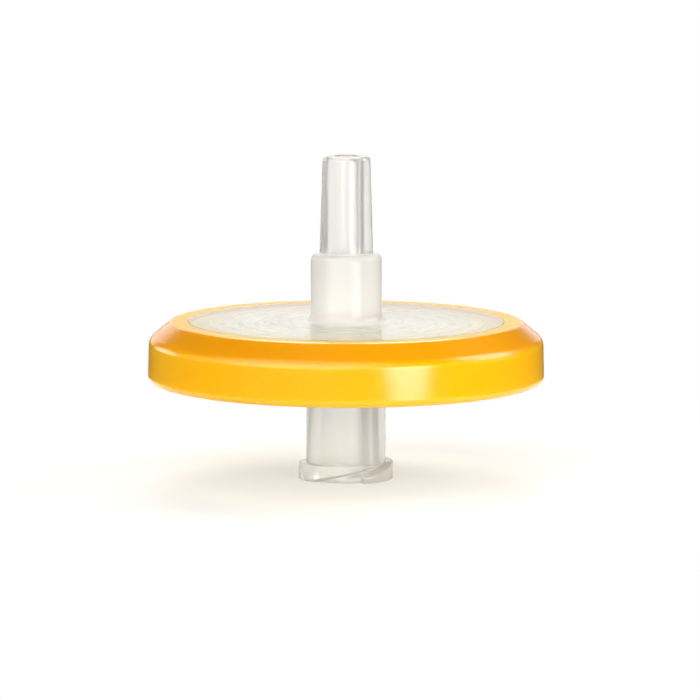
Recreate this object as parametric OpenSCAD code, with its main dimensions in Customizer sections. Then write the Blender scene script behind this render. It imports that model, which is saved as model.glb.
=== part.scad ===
// Syringe filter with an overmoulded ring.
//
// Two clear discs clamp a round membrane, and a coloured ring moulded over their
// rims holds them together. The inlet is a female luer lock and the outlet is a
// male luer slip. The filter stands on the mouth of its inlet.
//
// Units: millimetres. Origin: centre of the inlet's mouth. +Z runs with the flow,
// from the inlet to the outlet.

/* [Membrane] */
// Diameter of the open area of the membrane
filter_d = 22.8; // [18:0.2:30]
// Width of the membrane's rim that the discs clamp
clamp_w = 1.5; // [0.8:0.1:2.5]
// Thickness of the membrane
membrane_t = 0.15; // [0.1:0.01:0.3]
// Gap round the membrane in its seat
membrane_gap = 0.1; // [0.05:0.05:0.3]

/* [Discs] */
// Thickness of the inlet disc, from its outer face to the membrane
inlet_disc_t = 2.4; // [2.2:0.05:3.2]
// Thickness of the outlet disc, from the membrane to its outer face
outlet_disc_t = 2.5; // [2.2:0.05:3.2]
// Width of the discs' rim outside the membrane's seat
rim_w = 1.6; // [1:0.1:2.5]
// Chamfer round the outer edge of each disc
rim_chamfer = 0.4; // [0.1:0.05:0.6]

/* [Flow channels] */
// Depth of the channels in both discs
channel_depth = 0.7; // [0.4:0.05:0.9]
// Width of the ring channels
channel_w = 0.85; // [0.6:0.05:1.2]
// Width of the ribs between the ring channels
rib_w = 0.6; // [0.4:0.05:1]
// Diameter of the round well in the middle, round the bore
well_d = 5.2; // [4.4:0.1:6.4]
// Number of radial channels
spoke_count = 8; // [4:1:8]
// Width of the radial channels
spoke_w = 0.9; // [0.6:0.05:1.2]
// Gap between the inlet ribs and the membrane
inlet_rib_gap = 0.15; // [0.05:0.05:0.25]

/* [Overmoulded ring] */
// Thickness of the ring's wall outside the discs
ring_wall = 1.9; // [1.5:0.1:3]
// How far the ring's lips reach in over the discs
lip_reach = 1.5; // [1:0.1:2]
// Thickness of the ring's lips
lip_t = 1.1; // [0.9:0.05:1.3]
// Draft of the ring's side, in degrees
ring_draft = 1.5; // [0:0.25:3]
// Width of the chamfer round the ring's top
chamfer_w = 1.84; // [1.4:0.02:2.1]
// Height of the chamfer round the ring's top
chamfer_h = 1.5; // [1:0.05:1.9]
// Rounding of the ring's lower edge
foot_round = 0.6; // [0.2:0.05:1]
// Rounding between the ring's side and its chamfer
shoulder_round = 1; // [0.2:0.05:1.2]
// Rounding between the chamfer and the ring's top
crest_round = 0.6; // [0.05:0.05:0.8]
// Rounding of the inner edge of the ring's top
lip_round = 0.12; // [0.05:0.01:0.3]

/* [Inlet, female luer lock] */
// Length of the inlet tube below the disc
inlet_len = 8.15; // [8:0.01:14]
// Outside diameter of the inlet tube
inlet_d = 6.65; // [6:0.05:7.2]
// Rounding between the inlet tube and its disc
inlet_fillet = 0.5; // [0.2:0.05:1]
// Diameter of the socket at its mouth
socket_d = 4.3; // [4.1:0.01:4.5]
// Depth of the socket
socket_depth = 7.5; // [6.5:0.1:9]
// Lead-in chamfer at the mouth of the socket
socket_lead = 0.15; // [0.05:0.05:0.3]
// Bore between the socket and the inlet channels
inlet_bore_d = 2; // [1.2:0.1:3]
// Diameter over the lugs
lug_d = 7.83; // [7.6:0.01:8.3]
// Height of the lugs above the mouth
lug_h = 1.45; // [1:0.05:2.2]
// Height of a lug's crest where it begins
lug_start_h = 0.47; // [0.2:0.01:0.8]
// Direction in which the first lug begins, in degrees from +X
lug_start_a = -67; // [-180:1:180]
// Number of lugs, which is the number of starts of the thread
lug_count = 2; // [2:1:3]
// Lead of the thread, right-hand
thread_lead = 5; // [4.5:0.1:6]
// Width of the groove between the lugs, at their crests
groove_w = 0.74; // [0.6:0.02:1.2]
// Slope of the lugs' flanks, in degrees
flank_a = 25; // [15:1:30]

/* [Outlet, male luer slip] */
// Diameter of the collar under the slip tip
collar_d = 5.9; // [5.2:0.1:7.5]
// Height of the collar above its disc
collar_h = 5.65; // [3:0.01:8]
// Rounding of the collar's top edge
collar_round = 0.5; // [0.1:0.05:0.6]
// Rounding between the collar and its disc
collar_fillet = 0.7; // [0.2:0.05:1.5]
// Length of the tapered slip tip
tip_len = 8.1; // [7.5:0.1:11]
// Diameter of the slip tip at its end
tip_d = 3.95; // [3.85:0.01:4.05]
// Rounding of the slip tip's end
tip_round = 0.4; // [0.1:0.05:0.6]
// Bore through the outlet
outlet_bore_d = 2.1; // [1.2:0.1:2.6]

/* [Luer taper] */
// Taper of both luers, as the change of diameter along a unit of length
luer_taper = 0.06; // [0.05:0.005:0.07]

/* [Hidden] */
$fn = 96;

// Radii, each from the one inside it
filter_r = filter_d / 2;
membrane_r = filter_r + clamp_w;
seat_r = membrane_r + membrane_gap;
disc_r = seat_r + rim_w;
pad_r = disc_r - lip_reach;
ring_r = disc_r + ring_wall;
inlet_r = inlet_d / 2;
socket_r = socket_d / 2;
lug_r = lug_d / 2;
collar_r = collar_d / 2;
tip_r = tip_d / 2;

// Heights, each from the one below it
disc_z = inlet_len;
clamp_z = disc_z + inlet_disc_t;
seam_z = clamp_z + membrane_t;
top_z = seam_z + outlet_disc_t;
collar_z = top_z + collar_h;
tip_z = collar_z + tip_len;

// Ring channels, counted from the rim inwards as long as a rib is left round the well
channel_pitch = channel_w + rib_w;
well_r = well_d / 2;
channel_count = floor((filter_r - well_r) / channel_pitch);
// The spokes begin inside the well, half way between its wall and the wider bore
spoke_start_r = (well_r + max(inlet_bore_d, outlet_bore_d) / 2) / 2;
spoke_end_r = filter_r - channel_w / 2;

// Inner end of the lugs, buried half way into the wall of the tube
lug_root_r = (inlet_r + socket_r) / 2;
flank_slope = tan(flank_a);
crest_w = thread_lead / lug_count - groove_w;
// Overshoot of the cutting and intersecting shapes
over = 0.5;
// Angle between two sections of a lug
lug_step = 4;
// Points of each rounded corner, less one
arc_steps = 8;

// Points of a rounded corner b between its neighbours a and c
function corner(a, b, c, radius) =
    let (u = (a - b) / norm(a - b), v = (c - b) / norm(c - b))
    let (half = acos(u * v) / 2, turn = 180 - 2 * half)
    let (centre = b + (u + v) / norm(u + v) * radius / sin(half))
    let (from = b + u * radius / tan(half) - centre)
    let (to = b + v * radius / tan(half) - centre)
    [for (i = [0 : arc_steps])
        let (t = i / arc_steps)
        centre + (from * sin((1 - t) * turn) + to * sin(t * turn)) / sin(turn)];

// Outline through [r, z, radius] points, each corner rounded by its radius
function outline(points) =
    [for (i = [0 : len(points) - 1])
        let (a = points[(i + len(points) - 1) % len(points)])
        let (b = points[i], c = points[(i + 1) % len(points)])
        each b[2] == 0 ? [[b.x, b.y]]
            : corner([a.x, a.y], [b.x, b.y], [c.x, c.y], b[2])];

module turned(points) {
    rotate_extrude() polygon(outline(points));
}

// The channels of one disc: well, rings and spokes, cut from height z to z + height
module channels(z, height) {
    translate([0, 0, z]) cylinder(r = well_r, h = height);
    for (i = [0 : channel_count - 1]) {
        outer_r = filter_r - i * channel_pitch;
        translate([0, 0, z]) difference() {
            cylinder(r = outer_r, h = height);
            translate([0, 0, -over]) cylinder(r = outer_r - channel_w, h = height + 2 * over);
        }
    }
    for (i = [0 : spoke_count - 1]) {
        rotate(i * 360 / spoke_count) translate([spoke_start_r, -spoke_w / 2, z])
            cube([spoke_end_r - spoke_start_r, spoke_w, height]);
    }
}

// Helical ridge from which one lug is cut. Its first section lies at +X.
module lug_ridge() {
    inner_r = lug_root_r;
    outer_r = lug_r + over;
    rise = lug_h - lug_start_h + crest_w + (lug_r - inner_r) * flank_slope;
    steps = ceil(360 * rise / thread_lead / lug_step);
    points = [for (i = [0 : steps])
        let (a = i * lug_step, top = lug_start_h + thread_lead * a / 360)
        each [for (p = [[inner_r, 0], [outer_r, 0], [outer_r, 1], [inner_r, 1]])
            let (root = (lug_r - p[0]) * flank_slope)
            [p[0] * cos(a), p[0] * sin(a), p[1] == 1 ? top + root : top - crest_w - root]]];
    sides = [for (i = [0 : steps - 1], k = [0 : 3])
        let (a = 4 * i + k, b = 4 * i + (k + 1) % 4)
        each [[a, b, b + 4], [a, b + 4, a + 4]]];
    last = 4 * steps;
    ends = [[2, 1, 0], [3, 2, 0], [last, last + 1, last + 2], [last, last + 2, last + 3]];
    polyhedron(points = points, faces = concat(sides, ends));
}

module lug() {
    intersection() {
        cylinder(r = lug_r, h = lug_h);
        lug_ridge();
    }
}

// Inlet half: the luer lock tube, its disc, and the seat that takes the membrane
module inlet_housing() {
    socket_end_r = socket_r - luer_taper / 2 * socket_depth;
    floor_z = clamp_z - channel_depth;
    color("#ECE6D6") difference() {
        union() {
            turned([
                [0, 0, 0],
                [inlet_r, 0, 0],
                [inlet_r, disc_z, inlet_fillet],
                [pad_r, disc_z, 0],
                [pad_r, disc_z + lip_t, 0],
                [disc_r - rim_chamfer, disc_z + lip_t, 0],
                [disc_r, disc_z + lip_t + rim_chamfer, 0],
                [disc_r, seam_z, 0],
                [seat_r, seam_z, 0],
                [seat_r, clamp_z, 0],
                [filter_r, clamp_z, 0],
                [filter_r, clamp_z - inlet_rib_gap, 0],
                [0, clamp_z - inlet_rib_gap, 0]
            ]);
            for (i = [0 : lug_count - 1]) {
                rotate(lug_start_a + i * 360 / lug_count) lug();
            }
        }
        turned([
            [0, -over, 0],
            [socket_r + socket_lead, -over, 0],
            [socket_r + socket_lead, 0, 0],
            [socket_r - luer_taper / 2 * socket_lead, socket_lead, 0],
            [socket_end_r, socket_depth, 0],
            [0, socket_depth, 0]
        ]);
        translate([0, 0, socket_depth - over])
            cylinder(d = inlet_bore_d, h = clamp_z - socket_depth + 2 * over);
        channels(floor_z, channel_depth + over);
    }
}

// Outlet half: the disc whose ribs carry the membrane, the collar and the slip tip
module outlet_housing() {
    tip_base_r = tip_r + luer_taper / 2 * tip_len;
    color("#EDEBE4") difference() {
        turned([
            [0, seam_z, 0],
            [disc_r, seam_z, 0],
            [disc_r, top_z - lip_t - rim_chamfer, 0],
            [disc_r - rim_chamfer, top_z - lip_t, 0],
            [pad_r, top_z - lip_t, 0],
            [pad_r, top_z, 0],
            [collar_r, top_z, collar_fillet],
            [collar_r, collar_z, collar_round],
            [tip_base_r, collar_z, 0],
            [tip_r, tip_z, tip_round],
            [0, tip_z, 0]
        ]);
        translate([0, 0, seam_z - over])
            cylinder(d = outlet_bore_d, h = tip_z - seam_z + 2 * over);
        channels(seam_z - over, channel_depth + over);
    }
}

// Filter membrane, a plain round sheet
module filter_membrane() {
    color("white") translate([0, 0, clamp_z]) cylinder(r = membrane_r, h = membrane_t);
}

// Ring moulded over the rims of both discs
module overmold_ring() {
    side_r = ring_r - (top_z - chamfer_h - disc_z) * tan(ring_draft);
    color("#F8B617") turned([
        [pad_r, disc_z, 0],
        [ring_r, disc_z, foot_round],
        [side_r, top_z - chamfer_h, shoulder_round],
        [side_r - chamfer_w, top_z, crest_round],
        [pad_r, top_z, lip_round],
        [pad_r, top_z - lip_t, 0],
        [disc_r - rim_chamfer, top_z - lip_t, 0],
        [disc_r, top_z - lip_t - rim_chamfer, 0],
        [disc_r, disc_z + lip_t + rim_chamfer, 0],
        [disc_r - rim_chamfer, disc_z + lip_t, 0],
        [pad_r, disc_z + lip_t, 0]
    ]);
}

inlet_housing();
outlet_housing();
filter_membrane();
overmold_ring();
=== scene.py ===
"""Syringe filter: two clear turned halves, a membrane between them and a ring moulded over their rims."""

import math

import bmesh
import bpy
from bpy.props import FloatProperty, FloatVectorProperty, IntProperty, PointerProperty
from mathutils import Matrix, Vector


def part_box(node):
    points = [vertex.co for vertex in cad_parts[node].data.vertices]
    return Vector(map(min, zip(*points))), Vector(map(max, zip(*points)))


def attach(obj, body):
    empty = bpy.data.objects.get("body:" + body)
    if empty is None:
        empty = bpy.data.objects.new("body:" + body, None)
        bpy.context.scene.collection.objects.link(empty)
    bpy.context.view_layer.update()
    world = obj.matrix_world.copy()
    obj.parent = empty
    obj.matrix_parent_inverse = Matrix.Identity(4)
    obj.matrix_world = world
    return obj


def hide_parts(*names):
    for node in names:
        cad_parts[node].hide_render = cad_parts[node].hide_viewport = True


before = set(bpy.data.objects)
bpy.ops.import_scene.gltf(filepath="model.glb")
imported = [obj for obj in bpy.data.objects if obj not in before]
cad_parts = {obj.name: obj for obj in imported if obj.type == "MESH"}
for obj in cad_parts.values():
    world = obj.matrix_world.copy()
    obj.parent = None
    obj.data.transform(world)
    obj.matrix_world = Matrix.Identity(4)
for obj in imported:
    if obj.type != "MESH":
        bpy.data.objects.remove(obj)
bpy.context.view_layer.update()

bl_info = {
    "name": "Syringe Filter",
    "version": (1, 0, 0),
    "blender": (4, 5, 0),
    "location": "View3D > Sidebar > Syringe Filter",
    "description": "Builds a disposable syringe filter with its stage",
    "category": "Add Mesh",
}

MM = 0.001
BODY = "root"
# Heights and radii that the frame gives
SHEET_LOW, SHEET_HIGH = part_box("filter_membrane")
RING_LOW, RING_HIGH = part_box("overmold_ring")
_, OUTLET_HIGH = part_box("outlet_housing")
DISC_Z = RING_LOW.z
CLAMP_Z = SHEET_LOW.z
SEAM_Z = SHEET_HIGH.z
TOP_Z = RING_HIGH.z
TIP_Z = OUTLET_HIGH.z
DISC_R = OUTLET_HIGH.x
SHEET_R = SHEET_HIGH.x

# Overlap of two pieces that are bonded, and gap between two that only touch, so that no faces coincide
HAIR = 0.01 * MM
# Sides of a turned piece, steps round one of its corners, and turn between two sections of a lug
SEGMENTS = 192
CORNER_STEPS = 8
LUG_STEP = math.radians(2)
# Steps across a lug's rounded edge
EDGE_STEPS = 2
# Radii between the bores and the outer skins, above and below the discs
OUTLET_SKIN = 1.5 * MM
INLET_SKIN = 2.7 * MM
# Edges that turn by more than this stay sharp
SHARP_ANGLE = math.radians(30)
QUARTER = math.radians(90)
WHITE = (1.0, 1.0, 1.0, 1.0)
# Half of the width over which one finish, or the painted shade of the ring's chamfer, turns into the next
FINISH_FADE = 0.2 * MM
SLOPE_FADE = 0.3 * MM
# Where the finish of the tubes ends and where it is full, in radii of a disc
CORE_END, CORE_FULL = 1 / 2, 1 / 5
# How deep the haze of the discs' faces reaches, and how far the painted yellow glow of the ring's light
# reaches into the discs
FACE_DEPTH = 1.0 * MM
RING_GLOW_REACH = 3 * MM
# Indices of refraction
CLEAR_IOR = 1.49
RING_IOR = 1.5
# How far red, green and blue light travels inside the ring, in millimetres
RING_SCATTER = (3.0, 2.2, 0.1)
# Noise scales of the flow marks, the moulds' grain and the membrane's pores, in cells over a metre
CLEAR_FLOW = 180.0
CLEAR_GRAIN = 9000.0
RING_FLOW = 120.0
RING_GRAIN = 5000.0
PORES = 12000.0
PORE_DETAIL = 4.0
# Where the painted warm tint of the filter's shadow and the painted shade behind its foot end and where they
# are full, in reaches of the shadow
SHADOW_END, SHADOW_FULL = 2.0, 0.5
FOOT_END, FOOT_FULL = 0.7, 0.3
# Soft edge of the white card, as a share of its radius
CARD_FADE = 0.05
# Width of the camera's sensor in millimetres
SENSOR_WIDTH = 36
# Sockets of a Mix node that take its two colours and give the mixed one
MIX_FIRST, MIX_SECOND, MIX_RESULT = 6, 7, 2


def length(name, description, default):
    """A length property whose default is given in millimetres."""
    return FloatProperty(
        name=name, description=description, default=default * MM, min=0.0,
        unit="LENGTH", subtype="DISTANCE", precision=5,
    )


def colour(name, description, default):
    """A colour property, in linear values."""
    return FloatVectorProperty(
        name=name, description=description, default=default, size=3, min=0.0, max=1.0, subtype="COLOR",
    )


def factor(name, description, default):
    """A share from 0 to 1."""
    return FloatProperty(
        name=name, description=description, default=default, min=0.0, max=1.0, subtype="FACTOR",
    )


def angle(name, description, default):
    """An angle property whose default is given in degrees."""
    return FloatProperty(
        name=name, description=description, default=math.radians(default), subtype="ANGLE",
    )


def level(name, description, default):
    """A radiance, of which 1 is white."""
    return FloatProperty(name=name, description=description, default=default, min=0.0)


# ---------------------------------------------------------------- properties


class DiscSizes(bpy.types.PropertyGroup):
    """Sizes that both discs share."""

    pad_r: length("Pad Radius", "Radius of the disc's face inside the ring", 13.1)
    filter_r: length("Filter Radius", "Radius of the open area of the membrane", 11.4)
    seat_gap: length("Seat Gap", "Gap round the membrane in its seat", 0.1)
    lip_t: length("Lip Thickness", "Thickness of the ring's lips over the discs", 1.1)
    rim_chamfer: length("Rim Chamfer", "Chamfer round the outer edge of each disc", 0.4)
    taper: FloatProperty(
        name="Luer Taper", description="Change of diameter along a unit of length", default=0.06,
    )


class ChannelSizes(bpy.types.PropertyGroup):
    """Sizes of the flow channels in both discs."""

    depth: length("Depth", "Depth of the channels", 0.7)
    width: length("Channel Width", "Width of the ring channels", 0.85)
    rib: length("Rib Width", "Width of the ribs between ring channels", 0.6)
    rings: IntProperty(name="Ring Channels", description="Number of ring channels", default=6, min=1)
    well_r: length("Well Radius", "Radius of the round well in the middle", 2.6)
    spokes: IntProperty(name="Spokes", description="Number of radial channels", default=8, min=1)
    spoke_w: length("Spoke Width", "Width of the radial channels", 0.9)
    inlet_gap: length("Inlet Rib Gap", "Gap between the inlet ribs and the membrane", 0.15)


class InletSizes(bpy.types.PropertyGroup):
    """Sizes of the female luer lock."""

    tube_r: length("Tube Radius", "Outside radius of the tube", 3.325)
    fillet: length("Fillet", "Rounding between the tube and its disc", 0.5)
    socket_r: length("Socket Radius", "Radius of the socket at its mouth", 2.15)
    socket_depth: length("Socket Depth", "Depth of the socket", 7.5)
    socket_lead: length("Socket Lead", "Lead-in chamfer at the socket's mouth", 0.15)
    bore_r: length("Bore Radius", "Radius of the bore from the socket to the channels", 1.0)
    mouth_round: length("Mouth Rounding", "Rounding of the mouth's outer edge", 0.08)


class LugSizes(bpy.types.PropertyGroup):
    """Sizes of the lugs, which are the starts of a right-hand thread."""

    outer_r: length("Lug Radius", "Radius over the lugs", 3.915)
    height: length("Lug Height", "Height of the lugs above the mouth", 1.45)
    start_h: length("Start Height", "Height of a lug's crest where it begins", 0.47)
    start_a: angle("Start Direction", "Direction in which the first lug begins, from +X", -67)
    count: IntProperty(name="Lugs", description="Number of lugs", default=2, min=1)
    lead: length("Thread Lead", "Lead of the thread", 5.0)
    groove: length("Groove Width", "Width of the groove between the lugs, at their crests", 0.74)
    flank: angle("Flank Slope", "Slope of the lugs' flanks", 25)
    edge_round: length("Edge Rounding", "Rounding of the lugs' edges", 0.05)


class OutletSizes(bpy.types.PropertyGroup):
    """Sizes of the collar and the male luer slip."""

    collar_r: length("Collar Radius", "Radius of the collar", 2.95)
    collar_h: length("Collar Height", "Height of the collar above its disc", 5.65)
    collar_round: length("Collar Rounding", "Rounding of the collar's top edge", 0.5)
    collar_fillet: length("Collar Fillet", "Rounding between the collar and its disc", 0.7)
    tip_r: length("Tip Radius", "Radius of the slip tip at its end", 1.975)
    tip_round: length("Tip Rounding", "Rounding of the slip tip's end", 0.4)
    bore_r: length("Bore Radius", "Radius of the bore through the outlet", 1.05)


class RingSizes(bpy.types.PropertyGroup):
    """Sizes of the overmoulded ring."""

    wall: length("Wall", "Thickness of the ring outside the discs", 1.9)
    draft: angle("Draft", "Draft of the ring's side", 1.5)
    chamfer_w: length("Chamfer Width", "Width of the chamfer round the top", 1.84)
    chamfer_h: length("Chamfer Height", "Height of the chamfer round the top", 1.5)
    foot_round: length("Foot Rounding", "Rounding of the lower edge", 0.6)
    shoulder_round: length("Shoulder Rounding", "Rounding between the side and the chamfer", 1.0)
    crest_round: length("Crest Rounding", "Rounding between the chamfer and the top", 0.6)
    lip_round: length("Lip Rounding", "Rounding of the inner edge of the top", 0.12)


class Finishes(bpy.types.PropertyGroup):
    """Colours and finishes, among them painted light and shade."""

    clear: colour("Clear Plastic", "Tint of the clear plastic", (0.992, 0.987, 0.97))
    haze: colour("Haze", "Colour of the haze in the clear plastic", (0.8, 0.8, 0.79))
    # Painted light: a yellow tint that stands in for the ring's light glowing in the clear plastic beside it
    clear_painted_ring_glow: colour("Clear Beside Ring", "Tint of the clear plastic beside the ring", (0.97, 0.87, 0.5))
    # Painted light: the warm tint of the tube's haze stands in for the ring's yellow light
    tube_haze_painted_warmth: colour("Tube Haze", "Colour of the haze in the tube, warmed by the ring", (0.985, 0.972, 0.93))
    # Partly painted light: the haze's own colour with a cream tint that stands in for the ring's warm light
    disc_haze_painted_warmth: colour("Disc Haze", "Colour of the haze in the discs", (0.99, 0.94, 0.77))
    # Painted light: a yellow tint of the haze that stands in for the ring's light beside it
    haze_painted_ring_glow: colour("Ring Haze", "Colour of the haze beside the ring", (0.95, 0.78, 0.36))
    haze_glow: colour("Haze Glow", "Colour of the light that comes through the haze", (0.95, 0.92, 0.82))
    tip_milk: factor("Tip Milkiness", "Share of haze in the tip", 0.34)
    collar_milk: factor("Collar Milkiness", "Share of haze in the collar", 0.65)
    tube_milk: factor("Tube Milkiness", "Share of haze in the tube", 0.45)
    disc_milk: factor("Disc Milkiness", "Share of haze on the discs' outer faces", 0.36)
    haze_depth: factor("Haze Depth", "Share of the haze that lets light through", 0.3)
    clear_rough: factor("Clear Roughness", "Roughness of the clear plastic", 0.14)
    collar_satin: factor("Collar Satin", "Added roughness of the collar", 0.16)
    flow_rough: factor("Flow Marks", "Added roughness of the plastics' flow marks", 0.06)
    clear_relief: factor("Clear Relief", "Strength of the clear plastic's grain", 0.15)
    ring: colour("Ring Plastic", "Colour of the ring", (0.715, 0.37, 0.0))
    # Painted shade: the flat top and the chamfer are darker and more orange than the side, standing in for
    # the light they lack
    ring_flat_painted_shade: colour("Ring Flat Colour", "Colour of the ring's flat top", (0.65, 0.345, 0.0))
    ring_chamfer_painted_shade: colour("Ring Chamfer", "Colour of the ring's chamfer", (0.66, 0.275, 0.0))
    ring_depth: factor("Ring Depth", "Share of the light that scatters inside the ring", 0.8)
    ring_shine: factor("Ring Shine", "Strength of the ring's reflections", 0.5)
    ring_rough: factor("Ring Roughness", "Roughness of the ring", 0.16)
    ring_satin: factor("Ring Satin", "Added roughness of the ring's flat top", 0.3)
    ring_relief: factor("Ring Relief", "Strength of the ring's grain", 0.1)
    sheet: colour("Membrane", "Colour of the membrane", (0.99, 0.95, 0.78))
    sheet_rough: factor("Membrane Roughness", "Roughness of the membrane", 0.85)
    sheet_relief: factor("Membrane Relief", "Strength of the membrane's grain", 0.4)


class StageSizes(bpy.types.PropertyGroup):
    """Camera, floor and lights. The back is the filter's side that faces away from the camera."""

    pitch: angle("Pitch", "How far the camera looks down", 7.45)
    roll: angle("Roll", "How far the camera leans to its left", 0.137)
    distance: length("Distance", "Distance from the camera to the ring", 382.7)
    aside: length("Aside", "How far the camera stands to the right", 0.323)
    above: length("Above", "How far over the middle of the ring the camera aims", 0.065)
    lens: FloatProperty(name="Lens", description="Focal length in millimetres", default=236.4, unit="CAMERA")
    floor_size: length("Floor Size", "Side of the square floor", 4000.0)
    floor_white: factor("Floor White", "Whiteness of the floor", 0.95)
    floor_glow: factor("Floor Glow", "Share of the floor at the filter that is plain white to the eye", 0.5)
    # Painted shade: the backdrop seen through the clear plastic is darker right behind the foot
    foot_painted_shade: factor("Foot Shade", "Share of the backdrop that is lost behind the filter's foot", 0.25)
    # Painted shadow: warm tint that the plain white floor takes near the filter, also seen through the clear
    # plastic
    painted_shadow_tint: colour("Shadow Tint", "Colour that the filter's shadow turns to", (1.0, 0.965, 0.87))
    shadow_reach: length("Shadow Reach", "Distance from the filter in which its shadow shows", 25.0)
    table_white: factor("Table White", "Whiteness of the dark table round the white card", 0.05)
    card_reach: length("White Card Reach", "Radius of the white card under the filter", 58.0)
    room_level: factor("Room Level", "Level of the light from the rest of the room", 0.05)
    gap_turn: angle("Gap Direction", "Middle of the gap in the backdrop, to the left of the back", 322)
    gap_reach: angle("Gap Reach", "Angle from the gap's middle to its edge", 26)
    rim_turn: angle("Rim Light Direction", "Middle of the rim light, to the left of the back", 50)
    rim_lift: angle("Rim Light Lift", "Height of the rim light over the horizon", 0)
    rim_reach: angle("Rim Light Reach", "Angle from the rim light's middle to its edge", 15)
    rim_level: level("Rim Light Level", "Radiance of the rim light", 3.0)
    side_turn: angle("Side Light Direction", "Middle of the side light, to the left of the back", 285)
    side_lift: angle("Side Light Lift", "Height of the side light over the horizon", 35)
    side_reach: angle("Side Light Reach", "Angle from the side light's middle to its edge", 18)
    side_level: level("Side Light Level", "Radiance of the side light", 5.0)
    fill_turn: angle("Fill Light Direction", "Middle of the fill light, to the left of the back", 150)
    fill_lift: angle("Fill Light Lift", "Height of the fill light over the horizon", 35)
    fill_reach: angle("Fill Light Reach", "Angle from the fill light's middle to its edge", 45)
    fill_level: level("Fill Light Level", "Radiance of the fill light", 1.7)
    low_turn: angle("Low Light Direction", "Middle of the low front light, to the left of the back", 150)
    low_lift: angle("Low Light Lift", "Height of the low front light over the horizon", 8)
    low_reach: angle("Low Light Reach", "Angle from the low front light's middle to its edge", 35)
    low_level: level("Low Light Level", "Radiance of the low front light", 1.4)
    back_turn: angle("Back Light Direction", "Middle of the back light, to the left of the back", 4)
    back_lift: angle("Back Light Lift", "Height of the back light over the horizon", 10)
    back_reach: angle("Back Light Reach", "Angle from the back light's middle to its edge", 22)
    back_level: level("Back Light Level", "Radiance of the back light", 1.15)
    flank_level: level("Flank Light Level", "Radiance of the two lights beside the back light", 0.8)
    top_turn: angle("Top Light Direction", "Middle of the top light, to the left of the back", 0)
    top_lift: angle("Top Light Lift", "Height of the top light over the horizon", 45)
    top_reach: angle("Top Light Reach", "Angle from the top light's middle to its edge", 15)
    top_level: level("Top Light Level", "Radiance of the top light", 7.1)
    key_azimuth: angle("Key Direction", "Direction of the key softbox, to the right of the front", 32.5)
    key_distance: length("Key Distance", "Distance of the key softbox", 80.0)
    key_width: length("Key Width", "Width of the key softbox", 42.0)
    key_height: length("Key Height", "Height of the key softbox", 34.0)
    key_level: level("Key Level", "Radiance of the key softbox, were it a rectangle", 7.0)


GROUPS = (
    DiscSizes, ChannelSizes, InletSizes, LugSizes, OutletSizes, RingSizes, Finishes, StageSizes,
)


class FilterSettings(bpy.types.PropertyGroup):
    """Everything that a user may change."""

    disc: PointerProperty(type=DiscSizes)
    channels: PointerProperty(type=ChannelSizes)
    inlet: PointerProperty(type=InletSizes)
    lugs: PointerProperty(type=LugSizes)
    outlet: PointerProperty(type=OutletSizes)
    ring: PointerProperty(type=RingSizes)
    finishes: PointerProperty(type=Finishes)
    stage: PointerProperty(type=StageSizes)


def settings():
    """The sizes, colours and finishes as they are set."""
    return bpy.context.scene.syringe_filter


# ---------------------------------------------------------------- node trees


class Wire:
    """An output socket of a node tree, on which Python's operators add Math nodes."""

    def __init__(self, nodes, socket):
        self.nodes = nodes
        self.socket = socket

    def math(self, operation, *values):
        sockets = dict(enumerate(values))
        return self.nodes.add("ShaderNodeMath", {"operation": operation}, sockets)

    def __add__(self, other):
        return self.math("ADD", self, other)

    def __radd__(self, other):
        return self.math("ADD", other, self)

    def __sub__(self, other):
        return self.math("SUBTRACT", self, other)

    def __rsub__(self, other):
        return self.math("SUBTRACT", other, self)

    def __mul__(self, other):
        return self.math("MULTIPLY", self, other)

    def __rmul__(self, other):
        return self.math("MULTIPLY", other, self)

    def __truediv__(self, other):
        return self.math("DIVIDE", self, other)

    def __rtruediv__(self, other):
        return self.math("DIVIDE", other, self)


class Nodes:
    """A node tree that is being built."""

    def __init__(self, tree):
        self.tree = tree
        tree.nodes.clear()

    def add(self, kind, options=None, sockets=None, out=0):
        """Adds a node with its settings and its sockets' values or links, and returns one output."""
        node = self.tree.nodes.new(kind)
        for name, value in (options or {}).items():
            setattr(node, name, value)
        for name, value in (sockets or {}).items():
            if isinstance(value, Wire):
                self.tree.links.new(value.socket, node.inputs[name])
            else:
                node.inputs[name].default_value = value
        return Wire(self, node.outputs[out]) if len(node.outputs) else None


def material(name):
    """A new material with its empty node tree."""
    made = bpy.data.materials.new(name)
    made.use_nodes = True
    return made, Nodes(made.node_tree)


def rgba(values):
    """A colour property's value as sockets take it."""
    return (*values, 1.0)


def object_place(nodes):
    """Object coordinates."""
    return nodes.add("ShaderNodeTexCoord", out="Object")


def noise(nodes, scale, detail=2.0):
    """Noise over a piece, from 0 to 1."""
    return nodes.add(
        "ShaderNodeTexNoise", {"noise_dimensions": "3D"},
        {"Vector": object_place(nodes), "Scale": scale, "Detail": detail}, "Fac",
    )


def relief(nodes, height, strength, depth):
    """The normal of a surface with a fine relief."""
    return nodes.add(
        "ShaderNodeBump", None, {"Height": height, "Strength": strength, "Distance": depth}, "Normal",
    )


def vector_math(nodes, operation, *values, out="Vector"):
    """A Vector Math node, which gives a vector, or a number from its Value output."""
    return nodes.add("ShaderNodeVectorMath", {"operation": operation}, dict(enumerate(values)), out)


def smooth_step(nodes, value, low, high):
    """0 at low, 1 at high, and a smooth rise between them."""
    return nodes.add(
        "ShaderNodeMapRange", {"interpolation_type": "SMOOTHSTEP"},
        {"Value": value, "From Min": low, "From Max": high}, "Result",
    )


def blend(nodes, share, first, second):
    """A colour between two others."""
    return nodes.add(
        "ShaderNodeMix", {"data_type": "RGBA"},
        {"Factor": share, MIX_FIRST: first, MIX_SECOND: second}, MIX_RESULT,
    )


def mix_shader(nodes, share, first, second):
    """A shader between two others."""
    return nodes.add("ShaderNodeMixShader", None, {0: share, 1: first, 2: second})


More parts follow.
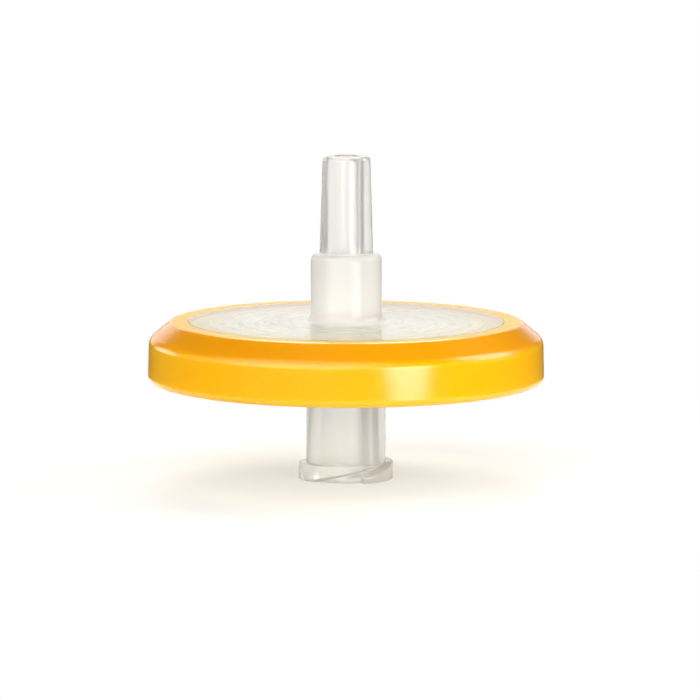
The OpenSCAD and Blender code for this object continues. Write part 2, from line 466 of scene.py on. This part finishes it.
def clear_plastic():
    """Natural moulded plastic. It is milky where it is thick. Near the ring its colour has a painted yellow
    glow of the ring's light, and the haze of the tube and discs has a painted warm light.
    """
    looks = settings().finishes
    made, nodes = material("clear_plastic")
    place = object_place(nodes)
    height = nodes.add("ShaderNodeSeparateXYZ", None, {"Vector": place}, "Z")
    across = vector_math(nodes, "MULTIPLY", place, (1.0, 1.0, 0.0))
    across = vector_math(nodes, "LENGTH", across, out="Value")
    core = smooth_step(nodes, across, DISC_R * CORE_END, DISC_R * CORE_FULL)
    # Painted light: the haze turns warm towards the ring, which stands in for the ring's yellow light
    painted_warmth = smooth_step(nodes, height, (TOP_Z + TIP_Z) / 2, TOP_Z)
    collar_z = TOP_Z + settings().outlet.collar_h
    below_tip = smooth_step(nodes, height, collar_z + FINISH_FADE, collar_z)
    below_disc = smooth_step(nodes, height, TOP_Z, DISC_Z)
    inner_r = OUTLET_SKIN + below_disc * (INLET_SKIN - OUTLET_SKIN)
    outside = smooth_step(nodes, across - inner_r, -FINISH_FADE, FINISH_FADE)
    milk = looks.tip_milk + below_tip * (looks.collar_milk - looks.tip_milk)
    milk = (milk + below_disc * (looks.tube_milk - looks.collar_milk)) * outside
    off_middle = height - (DISC_Z + TOP_Z) / 2
    off_middle = off_middle.math("ABSOLUTE", off_middle)
    half_disc = (TOP_Z - DISC_Z) / 2
    near_face = smooth_step(nodes, off_middle, half_disc - FACE_DEPTH, half_disc - FACE_DEPTH / 2)
    disc_milk = looks.disc_milk * near_face
    milk = disc_milk + core * (milk - disc_milk)
    # Painted light: beside the ring, the clear plastic and its haze take a yellow tint that stands in for the
    # ring's light
    beside = smooth_step(nodes, across, settings().disc.filter_r - RING_GLOW_REACH, settings().disc.pad_r)
    haze_with_painted_glow = blend(nodes, painted_warmth, rgba(looks.haze), rgba(looks.tube_haze_painted_warmth))
    haze_with_painted_glow = blend(nodes, core, rgba(looks.disc_haze_painted_warmth), haze_with_painted_glow)
    haze_with_painted_glow = blend(nodes, beside, haze_with_painted_glow, rgba(looks.haze_painted_ring_glow))
    flow = noise(nodes, CLEAR_FLOW)
    bump = relief(nodes, noise(nodes, CLEAR_GRAIN), looks.clear_relief, HAIR)
    collar = core * (below_tip - below_disc)
    rough = looks.clear_rough + looks.flow_rough * flow + looks.collar_satin * collar
    clear_with_painted_glow = blend(nodes, beside, rgba(looks.clear), rgba(looks.clear_painted_ring_glow))
    glass = nodes.add(
        "ShaderNodeBsdfPrincipled", None,
        {
            "Base Color": clear_with_painted_glow, "Roughness": rough, "IOR": CLEAR_IOR,
            "Transmission Weight": 1.0, "Normal": bump,
        },
    )
    front = nodes.add(
        "ShaderNodeBsdfPrincipled", None,
        {"Base Color": haze_with_painted_glow, "Roughness": rough, "IOR": CLEAR_IOR, "Normal": bump},
    )
    through = nodes.add("ShaderNodeBsdfTranslucent", None, {"Color": rgba(looks.haze_glow)})
    haze = mix_shader(nodes, looks.haze_depth, front, through)
    surface = mix_shader(nodes, milk, glass, haze)
    nodes.add("ShaderNodeOutputMaterial", None, {"Surface": surface})
    return made


def ring_plastic():
    """Glossy coloured plastic, which lets a little light in. Its chamfer and flat top have painted shade."""
    looks = settings().finishes
    made, nodes = material("ring_plastic")
    flow = noise(nodes, RING_FLOW)
    bump = relief(nodes, noise(nodes, RING_GRAIN), looks.ring_relief, HAIR)
    height = nodes.add("ShaderNodeSeparateXYZ", None, {"Vector": object_place(nodes)}, "Z")
    flat = smooth_step(nodes, height, TOP_Z - 2 * HAIR, TOP_Z)
    shoulder_z = TOP_Z - settings().ring.chamfer_h
    above = smooth_step(nodes, height, shoulder_z - SLOPE_FADE, shoulder_z + SLOPE_FADE)
    satin = looks.ring_satin * flat
    # Painted shade: the chamfer and the flat top take darker colours than the side
    colour_with_painted_shade = blend(nodes, above, rgba(looks.ring), rgba(looks.ring_chamfer_painted_shade))
    colour_with_painted_shade = blend(nodes, flat, colour_with_painted_shade, rgba(looks.ring_flat_painted_shade))
    surface = nodes.add(
        "ShaderNodeBsdfPrincipled", None,
        {
            "Base Color": colour_with_painted_shade,
            "Roughness": looks.ring_rough + looks.flow_rough * flow + satin, "IOR": RING_IOR,
            "Specular IOR Level": looks.ring_shine, "Normal": bump,
            "Subsurface Weight": looks.ring_depth, "Subsurface Radius": RING_SCATTER,
            "Subsurface Scale": MM,
        },
    )
    nodes.add("ShaderNodeOutputMaterial", None, {"Surface": surface})
    return made


def membrane_film():
    """Matte porous film."""
    looks = settings().finishes
    made, nodes = material("membrane_film")
    bump = relief(nodes, noise(nodes, PORES, PORE_DETAIL), looks.sheet_relief, 2 * HAIR)
    surface = nodes.add(
        "ShaderNodeBsdfPrincipled", None,
        {"Base Color": rgba(looks.sheet), "Roughness": looks.sheet_rough, "Normal": bump},
    )
    nodes.add("ShaderNodeOutputMaterial", None, {"Surface": surface})
    return made


# -------------------------------------------------------------------- meshes


def rounded(points):
    """The outline through (r, z, radius) points, each corner rounded by its radius."""
    outline = []
    for i, (r, z, radius) in enumerate(points):
        b = Vector((r, z))
        if not radius:
            outline.append(b)
            continue
        before = Vector(points[i - 1][:2]) - b
        after = Vector(points[(i + 1) % len(points)][:2]) - b
        half = before.angle(after) / 2
        centre = b + (before.normalized() + after.normalized()).normalized() * radius / math.sin(half)
        start = b + before.normalized() * radius / math.tan(half) - centre
        end = b + after.normalized() * radius / math.tan(half) - centre
        turn = math.pi - 2 * half
        for k in range(CORNER_STEPS + 1):
            t = k / CORNER_STEPS
            outline.append(
                centre + (start * math.sin((1 - t) * turn) + end * math.sin(t * turn)) / math.sin(turn)
            )
    return outline


def turned(name, points):
    """A ring of revolution about Z, from an outline that stays clear of the axis."""
    outline = rounded(points)
    shape = bmesh.new()
    rows = []
    for i in range(SEGMENTS):
        a = 2 * math.pi * i / SEGMENTS
        rows.append([shape.verts.new((p.x * math.cos(a), p.x * math.sin(a), p.y)) for p in outline])
    for i, row in enumerate(rows):
        after = rows[(i + 1) % SEGMENTS]
        for k in range(len(outline)):
            n = (k + 1) % len(outline)
            shape.faces.new((row[k], after[k], after[n], row[n]))
    bmesh.ops.recalc_face_normals(shape, faces=shape.faces)
    return as_object(name, shape)


def as_object(name, shape):
    """A new object from a shape, which is used up."""
    mesh = bpy.data.meshes.new(name)
    shape.to_mesh(mesh)
    shape.free()
    made = bpy.data.objects.new(name, mesh)
    bpy.context.scene.collection.objects.link(made)
    return made


def settle(piece):
    """Turns a piece's modifiers into its plain mesh."""
    bpy.context.view_layer.update()
    seen = piece.evaluated_get(bpy.context.evaluated_depsgraph_get())
    mesh = bpy.data.meshes.new_from_object(seen)
    piece.modifiers.clear()
    piece.data = mesh


def cut(piece, other, operation):
    """Joins, cuts or intersects a piece with another, which is used up."""
    step = piece.modifiers.new(operation.title(), "BOOLEAN")
    step.operation = operation
    step.solver = "MANIFOLD"
    step.object = other
    settle(piece)
    bpy.data.objects.remove(other)


def finish_piece(piece, made, slot, *nodes):
    """Smooths a piece, gives it its material, and seats it on its body in place of CAD nodes."""
    mesh = piece.data
    mesh.materials.clear()
    mesh.materials.append(made)
    mesh.shade_smooth()
    mesh.set_sharp_from_angle(angle=SHARP_ANGLE)
    weights = piece.modifiers.new("Even Shading", "WEIGHTED_NORMAL")
    weights.keep_sharp = True
    settle(piece)
    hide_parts(*nodes)
    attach(piece, BODY)


# ------------------------------------------------------------ flow channels


CHANNEL_INPUTS = (
    ("Floor", "NodeSocketFloat"),
    ("Height", "NodeSocketFloat"),
    ("Filter Radius", "NodeSocketFloat"),
    ("Channel Width", "NodeSocketFloat"),
    ("Rib Width", "NodeSocketFloat"),
    ("Ring Channels", "NodeSocketInt"),
    ("Well Radius", "NodeSocketFloat"),
    ("Bore Radius", "NodeSocketFloat"),
    ("Spokes", "NodeSocketInt"),
    ("Spoke Width", "NodeSocketFloat"),
    ("Facets", "NodeSocketInt"),
    ("Material", "NodeSocketMaterial"),
)


def channel_tree():
    """Geometry nodes that cut the ring channels, the spokes and the well from one face of a disc."""
    tree = bpy.data.node_groups.new("Flow Channels", "GeometryNodeTree")
    nodes = Nodes(tree)
    interface = tree.interface
    interface.new_socket("Geometry", in_out="INPUT", socket_type="NodeSocketGeometry")
    for name, kind in CHANNEL_INPUTS:
        interface.new_socket(name, in_out="INPUT", socket_type=kind)
    interface.new_socket("Geometry", in_out="OUTPUT", socket_type="NodeSocketGeometry")
    inputs = tree.nodes.new("NodeGroupInput")
    given = {socket.name: Wire(nodes, socket) for socket in inputs.outputs if socket.name}

    def vector(x=0.0, y=0.0, z=0.0):
        return nodes.add("ShaderNodeCombineXYZ", None, {"X": x, "Y": y, "Z": z})

    def copies(count, shape, place, **sockets):
        points = nodes.add("GeometryNodeMeshLine", None, {"Count": count, "Offset": (0.0, 0.0, 0.0)})
        points = nodes.add("GeometryNodeSetPosition", None, {"Geometry": points, "Position": place})
        many = nodes.add(
            "GeometryNodeInstanceOnPoints", None, {"Points": points, "Instance": shape, **sockets},
        )
        return nodes.add("GeometryNodeRealizeInstances", None, {"Geometry": many})

    index = nodes.add("GeometryNodeInputIndex")
    facets = given["Facets"]
    height = given["Height"]
    middle = given["Floor"] + height / 2.0

    line_r = given["Filter Radius"] - given["Channel Width"] / 2.0
    line_r = line_r - index * (given["Channel Width"] + given["Rib Width"])
    circle = nodes.add("GeometryNodeCurvePrimitiveCircle", None, {"Resolution": facets, "Radius": 1.0})
    circles = copies(given["Ring Channels"], circle, vector(z=middle), Scale=vector(line_r, line_r, 1.0))
    circles = nodes.add("GeometryNodeSetCurveRadius", None, {"Curve": circles, "Radius": 1.0})
    section = nodes.add(
        "GeometryNodeCurvePrimitiveQuadrilateral", None, {"Width": given["Channel Width"], "Height": height},
    )
    rings = nodes.add("GeometryNodeCurveToMesh", None, {"Curve": circles, "Profile Curve": section})

    spoke_end = given["Filter Radius"] - given["Channel Width"] / 2.0
    spoke_start = (given["Well Radius"] + given["Bore Radius"]) / 2.0
    bar = nodes.add(
        "GeometryNodeMeshCube", None, {"Size": vector(spoke_end - spoke_start, given["Spoke Width"], height)},
    )
    bar = nodes.add(
        "GeometryNodeTransform", None,
        {"Geometry": bar, "Translation": vector((spoke_end + spoke_start) / 2.0)},
    )
    turn = index * (2.0 * math.pi) / given["Spokes"]
    spokes = copies(given["Spokes"], bar, vector(z=middle), Rotation=vector(z=turn))

    well = nodes.add(
        "GeometryNodeMeshCylinder", None,
        {"Vertices": facets, "Radius": given["Well Radius"], "Depth": height},
    )
    well = nodes.add("GeometryNodeTransform", None, {"Geometry": well, "Translation": vector(z=middle)})

    carved = given["Geometry"]
    for cutter in (rings, spokes, well):
        carved = nodes.add(
            "GeometryNodeMeshBoolean", {"operation": "DIFFERENCE", "solver": "MANIFOLD"},
            {"Mesh 1": carved, "Mesh 2": cutter},
        )
    carved = nodes.add("GeometryNodeRealizeInstances", None, {"Geometry": carved})
    carved = nodes.add(
        "GeometryNodeSetMaterial", None, {"Geometry": carved, "Material": given["Material"]},
    )
    nodes.add("NodeGroupOutput", None, {"Geometry": carved})
    return tree


def carve_channels(piece, made, floor, bore_r):
    """Runs the flow channels' nodes on a disc. The cutters stand out of its face by the channels' depth."""
    sizes = settings().channels
    tree = bpy.data.node_groups.get("Flow Channels") or channel_tree()
    values = {
        "Floor": floor,
        "Height": 2 * sizes.depth,
        "Filter Radius": settings().disc.filter_r,
        "Channel Width": sizes.width,
        "Rib Width": sizes.rib,
        "Ring Channels": sizes.rings,
        "Well Radius": sizes.well_r,
        "Bore Radius": bore_r,
        "Spokes": sizes.spokes,
        "Spoke Width": sizes.spoke_w,
        "Facets": SEGMENTS,
        "Material": made,
    }
    step = piece.modifiers.new("Flow Channels", "NODES")
    step.node_group = tree
    for item in tree.interface.items_tree:
        if item.in_out == "INPUT" and item.name in values:
            step[item.identifier] = values[item.name]
    settle(piece)


# -------------------------------------------------------------------- pieces


def lug(name, turn):
    """One lug, cut from a helical ridge by the top of the lugs and by the mouth."""
    tube = settings().inlet
    size = settings().lugs
    root_r = (tube.tube_r + tube.socket_r) / 2
    slope = math.tan(size.flank)
    crest_w = size.lead / size.count - size.groove
    flare = (size.outer_r - root_r) * slope
    rise = size.height - size.start_h + crest_w + flare
    steps = math.ceil(2 * math.pi * rise / size.lead / LUG_STEP)
    shape = bmesh.new()
    rows = []
    for i in range(steps + 1):
        a = i * LUG_STEP
        top = size.start_h + size.lead * a / (2 * math.pi)
        section = (
            (root_r, top - crest_w - flare), (size.outer_r, top - crest_w),
            (size.outer_r, top), (root_r, top + flare),
        )
        rows.append([shape.verts.new((r * math.cos(a), r * math.sin(a), z)) for r, z in section])
    for row, after in zip(rows, rows[1:]):
        for k in range(len(section)):
            n = (k + 1) % len(section)
            shape.faces.new((row[k], after[k], after[n], row[n]))
    shape.faces.new(rows[0])
    shape.faces.new(reversed(rows[-1]))
    bmesh.ops.recalc_face_normals(shape, faces=shape.faces)
    bmesh.ops.rotate(shape, verts=shape.verts, cent=(0, 0, 0), matrix=Matrix.Rotation(turn, 3, "Z"))
    ridge = as_object(name, shape)
    band = turned("band", [
        (root_r / 2, 0, 0), (size.outer_r + root_r, 0, 0),
        (size.outer_r + root_r, size.height, 0), (root_r / 2, size.height, 0),
    ])
    cut(ridge, band, "INTERSECT")
    edges = ridge.modifiers.new("Rounded Edges", "BEVEL")
    edges.width = size.edge_round
    edges.segments = EDGE_STEPS
    edges.limit_method = "ANGLE"
    edges.angle_limit = SHARP_ANGLE
    settle(ridge)
    return ridge


def inlet_half(made):
    """The luer lock tube with its lugs, its disc, and the seat that takes the membrane."""
    disc = settings().disc
    tube = settings().inlet
    channels = settings().channels
    socket_end_r = tube.socket_r - disc.taper / 2 * tube.socket_depth
    rib_z = CLAMP_Z - channels.inlet_gap
    seat_r = SHEET_R + disc.seat_gap
    piece = turned("inlet_half", [
        (tube.socket_r + tube.socket_lead, 0, 0),
        (tube.tube_r, 0, tube.mouth_round),
        (tube.tube_r, DISC_Z, tube.fillet),
        (disc.pad_r, DISC_Z, 0),
        (disc.pad_r, DISC_Z + disc.lip_t, 0),
        (DISC_R - disc.rim_chamfer, DISC_Z + disc.lip_t, 0),
        (DISC_R, DISC_Z + disc.lip_t + disc.rim_chamfer, 0),
        (DISC_R, SEAM_Z, 0),
        (seat_r, SEAM_Z, 0),
        (seat_r, CLAMP_Z - HAIR, 0),
        (disc.filter_r, CLAMP_Z - HAIR, 0),
        (disc.filter_r, rib_z, 0),
        (tube.bore_r, rib_z, 0),
        (tube.bore_r, tube.socket_depth, 0),
        (socket_end_r, tube.socket_depth, 0),
        (tube.socket_r, tube.socket_lead, 0),
    ])
    for i in range(settings().lugs.count):
        turn = settings().lugs.start_a + 2 * math.pi * i / settings().lugs.count
        cut(piece, lug(f"lug_{i}", turn), "UNION")
    carve_channels(piece, made, CLAMP_Z - channels.depth, tube.bore_r)
    return piece


def outlet_half(made):
    """The disc whose ribs carry the membrane, the collar and the slip tip."""
    disc = settings().disc
    size = settings().outlet
    channels = settings().channels
    collar_z = TOP_Z + size.collar_h
    tip_base_r = size.tip_r + disc.taper / 2 * (TIP_Z - collar_z)
    piece = turned("outlet_half", [
        (size.bore_r, SEAM_Z - HAIR, 0),
        (DISC_R, SEAM_Z - HAIR, 0),
        (DISC_R, TOP_Z - disc.lip_t - disc.rim_chamfer, 0),
        (DISC_R - disc.rim_chamfer, TOP_Z - disc.lip_t, 0),
        (disc.pad_r, TOP_Z - disc.lip_t, 0),
        (disc.pad_r, TOP_Z, 0),
        (size.collar_r, TOP_Z, size.collar_fillet),
        (size.collar_r, collar_z, size.collar_round),
        (tip_base_r, collar_z, 0),
        (size.tip_r, TIP_Z, size.tip_round),
        (size.bore_r, TIP_Z, 0),
    ])
    carve_channels(piece, made, SEAM_Z - channels.depth, size.bore_r)
    return piece


def filter_sheet():
    """The membrane between the discs, whose outline stays a hair off the axis."""
    return turned("filter_sheet", [
        (HAIR, CLAMP_Z, 0), (SHEET_R, CLAMP_Z, 0), (SHEET_R, SEAM_Z, 0), (HAIR, SEAM_Z, 0),
    ])


def overmoulded_ring():
    """The ring, which reaches a hair into the discs because it is bonded to them."""
    disc = settings().disc
    size = settings().ring
    ring_r = DISC_R + size.wall
    side_r = ring_r - (TOP_Z - size.chamfer_h - DISC_Z) * math.tan(size.draft)
    pad_r = disc.pad_r - HAIR
    low_z = DISC_Z + disc.lip_t + HAIR
    high_z = TOP_Z - disc.lip_t - HAIR
    inner_r = DISC_R - HAIR
    chamfer_r = inner_r - disc.rim_chamfer
    return turned("ring", [
        (pad_r, DISC_Z, 0),
        (ring_r, DISC_Z, size.foot_round),
        (side_r, TOP_Z - size.chamfer_h, size.shoulder_round),
        (side_r - size.chamfer_w, TOP_Z, size.crest_round),
        (pad_r, TOP_Z, size.lip_round),
        (pad_r, high_z, 0),
        (chamfer_r, high_z, 0),
        (inner_r, high_z - disc.rim_chamfer, 0),
        (inner_r, low_z + disc.rim_chamfer, 0),
        (chamfer_r, low_z, 0),
        (pad_r, low_z, 0),
    ])


# ----------------------------------------------------------------- operators


class SYRINGEFILTER_OT_stage(bpy.types.Operator):
    """Adds the floor, the lights and the camera"""

    bl_idname = "syringe_filter.stage"
    bl_label = "Stage"

    def execute(self, context):
        size = settings().stage
        add_floor(size)
        add_world(size)
        add_key_light(size)
        add_camera(context.scene, size)
        return {"FINISHED"}


class SYRINGEFILTER_OT_housing(bpy.types.Operator):
    """Adds the two clear halves with their flow channels"""

    bl_idname = "syringe_filter.housing"
    bl_label = "Clear Halves"

    def execute(self, context):
        made = clear_plastic()
        finish_piece(inlet_half(made), made, "clear_plastic", "inlet_housing")
        finish_piece(outlet_half(made), made, "clear_plastic", "outlet_housing")
        return {"FINISHED"}


class SYRINGEFILTER_OT_membrane(bpy.types.Operator):
    """Adds the filter membrane"""

    bl_idname = "syringe_filter.membrane"
    bl_label = "Membrane"

    def execute(self, context):
        finish_piece(filter_sheet(), membrane_film(), "membrane", "filter_membrane")
        return {"FINISHED"}


class SYRINGEFILTER_OT_ring(bpy.types.Operator):
    """Adds the overmoulded ring"""

    bl_idname = "syringe_filter.ring"
    bl_label = "Overmoulded Ring"

    def execute(self, context):
        finish_piece(overmoulded_ring(), ring_plastic(), "ring_plastic", "overmold_ring")
        return {"FINISHED"}


OPERATORS = (
    SYRINGEFILTER_OT_stage, SYRINGEFILTER_OT_housing, SYRINGEFILTER_OT_membrane, SYRINGEFILTER_OT_ring,
)


class SYRINGEFILTER_PT_panel(bpy.types.Panel):
    """Lists the filter's operators and settings"""

    bl_idname = "SYRINGEFILTER_PT_panel"
    bl_label = "Syringe Filter"
    bl_space_type = "VIEW_3D"
    bl_region_type = "UI"
    bl_category = "Syringe Filter"

    def draw(self, context):
        for operator in OPERATORS:
            self.layout.operator(operator.bl_idname)
        for group_name in FilterSettings.__annotations__:
            group = getattr(settings(), group_name)
            box = self.layout.box()
            box.label(text=group_name.title())
            for value_name in type(group).__annotations__:
                box.prop(group, value_name)


# --------------------------------------------------------------------- stage


def ray_kind(nodes, name):
    """1 for one kind of ray, such as Is Camera Ray, and 0 for all others."""
    return nodes.add("ShaderNodeLightPath", out=name)


def add_floor(size):
    """White to the eye but for the shadow, which has a painted warm tint. The filter stands on a white card
    on a dark table.
    """
    half = size.floor_size / 2
    shape = bmesh.new()
    corners = ((-half, -half), (half, -half), (half, half), (-half, half))
    shape.faces.new([shape.verts.new((x, y, -HAIR)) for x, y in corners])
    floor = as_object("floor", shape)
    made, nodes = material("floor")
    place = object_place(nodes)
    away = vector_math(nodes, "LENGTH", place, out="Value")
    outward = vector_math(nodes, "NORMALIZE", place)
    camera = ray_kind(nodes, "Is Camera Ray")
    near = smooth_step(nodes, away, size.shadow_reach * SHADOW_END, size.shadow_reach * SHADOW_FULL)
    card = smooth_step(nodes, away, size.card_reach * (1 + CARD_FADE), size.card_reach * (1 - CARD_FADE))
    through = ray_kind(nodes, "Is Transmission Ray")
    level = card * (1.0 - through) * (size.floor_white - size.table_white) + size.table_white
    level = level.math("MAXIMUM", level, camera * size.floor_white)
    colour = nodes.add("ShaderNodeCombineColor", None, {"Red": level, "Green": level, "Blue": level})
    matte = nodes.add("ShaderNodeBsdfDiffuse", None, {"Color": colour})
    # Painted shadow: near the filter the white emission takes a warm tint, which the clear plastic also sees
    painted_shadow_colour = blend(nodes, near * near, WHITE, rgba(size.painted_shadow_tint))
    white = nodes.add("ShaderNodeEmission", None, {"Color": painted_shadow_colour, "Strength": 1.0})
    glow = 1.0 - near * (1.0 - size.floor_glow)
    # Painted shade: behind the foot, the backdrop that the clear plastic sees is darker
    close = smooth_step(nodes, away, size.shadow_reach * FOOT_END, size.shadow_reach * FOOT_FULL)
    backdrop = (1.0 - patch(nodes, outward, size.gap_turn, 0.0, size.gap_reach)) * through
    backdrop = backdrop * (1.0 - close * size.foot_painted_shade)
    seen = camera * glow
    surface = mix_shader(nodes, seen.math("MAXIMUM", seen, backdrop), matte, white)
    nodes.add("ShaderNodeOutputMaterial", None, {"Surface": surface})
    floor.data.materials.append(made)


def towards(turn, lift):
    """The direction that lies a turn to the left of the filter's back and a lift over the horizon."""
    return Matrix.Rotation(turn, 3, "Z") @ Vector((0.0, math.cos(lift), math.sin(lift)))


def patch(nodes, direction, turn, lift, reach):
    """1 within a reach of the direction that a turn and a lift give, 0 outside, with a soft edge."""
    facing = vector_math(nodes, "DOT_PRODUCT", direction, towards(turn, lift), out="Value")
    edge = math.cos(reach)
    fade = (1 - edge) / 2
    return smooth_step(nodes, facing, edge - fade, edge + fade)


def add_world(size):
    """White to the eye. To the filter it is a dark room with eight large soft lights."""
    world = bpy.data.worlds.new("studio")
    bpy.context.scene.world = world
    world.use_nodes = True
    nodes = Nodes(world.node_tree)
    direction = nodes.add("ShaderNodeTexCoord", out="Generated")
    level = size.room_level
    for turn, lift, reach, bright in (
        (size.rim_turn, size.rim_lift, size.rim_reach, size.rim_level),
        (size.side_turn, size.side_lift, size.side_reach, size.side_level),
        (size.fill_turn, size.fill_lift, size.fill_reach, size.fill_level),
        (size.low_turn, size.low_lift, size.low_reach, size.low_level),
        (size.back_turn, size.back_lift, size.back_reach, size.back_level),
        (size.back_turn + QUARTER, size.back_lift, size.back_reach, size.flank_level),
        (size.back_turn - QUARTER, size.back_lift, size.back_reach, size.flank_level),
        (size.top_turn, size.top_lift, size.top_reach, size.top_level),
    ):
        level = patch(nodes, direction, turn, lift, reach) * bright + level
    camera = ray_kind(nodes, "Is Camera Ray")
    white = nodes.add(
        "ShaderNodeBackground", None, {"Color": WHITE, "Strength": level + camera * (1.0 - level)},
    )
    nodes.add("ShaderNodeOutputWorld", None, {"Surface": white})


def add_key_light(size):
    """An upright elliptical softbox at the front right, turned to the filter."""
    lamp = bpy.data.lights.new("key", "AREA")
    lamp.shape = "ELLIPSE"
    lamp.size = size.key_width
    lamp.size_y = size.key_height
    lamp.energy = size.key_level * math.pi * size.key_width * size.key_height
    key = bpy.data.objects.new("key", lamp)
    bpy.context.scene.collection.objects.link(key)
    azimuth = size.key_azimuth
    away = size.key_distance
    key.location = (math.sin(azimuth) * away, -math.cos(azimuth) * away, size.key_height / 2 + HAIR)
    key.rotation_euler = (QUARTER, 0, azimuth)
    key.visible_camera = False


def add_camera(scene, size):
    """A long lens in front of the filter, which looks down on its ring."""
    lens = bpy.data.cameras.new("camera")
    lens.lens = size.lens
    lens.sensor_width = SENSOR_WIDTH
    camera = bpy.data.objects.new("camera", lens)
    scene.collection.objects.link(camera)
    aim_z = (DISC_Z + TOP_Z) / 2 + size.above
    camera.location = (
        size.aside, -size.distance * math.cos(size.pitch), aim_z + size.distance * math.sin(size.pitch),
    )
    pitched = Matrix.Rotation(QUARTER - size.pitch, 3, "X")
    camera.rotation_euler = (pitched @ Matrix.Rotation(size.roll, 3, "Z")).to_euler()
    scene.camera = camera
    scene.view_settings.view_transform = "Standard"


# ---------------------------------------------------------------------- main


CLASSES = (*GROUPS, FilterSettings, *OPERATORS, SYRINGEFILTER_PT_panel)


def register():
    for item in CLASSES:
        bpy.utils.register_class(item)
    bpy.types.Scene.syringe_filter = PointerProperty(type=FilterSettings)


def unregister():
    del bpy.types.Scene.syringe_filter
    for item in reversed(CLASSES):
        bpy.utils.unregister_class(item)


def main():
    """Builds the stage and the filter."""
    register()
    bpy.ops.syringe_filter.stage()
    bpy.ops.syringe_filter.housing()
    bpy.ops.syringe_filter.membrane()
    bpy.ops.syringe_filter.ring()


if __name__ == "__main__":
    main()
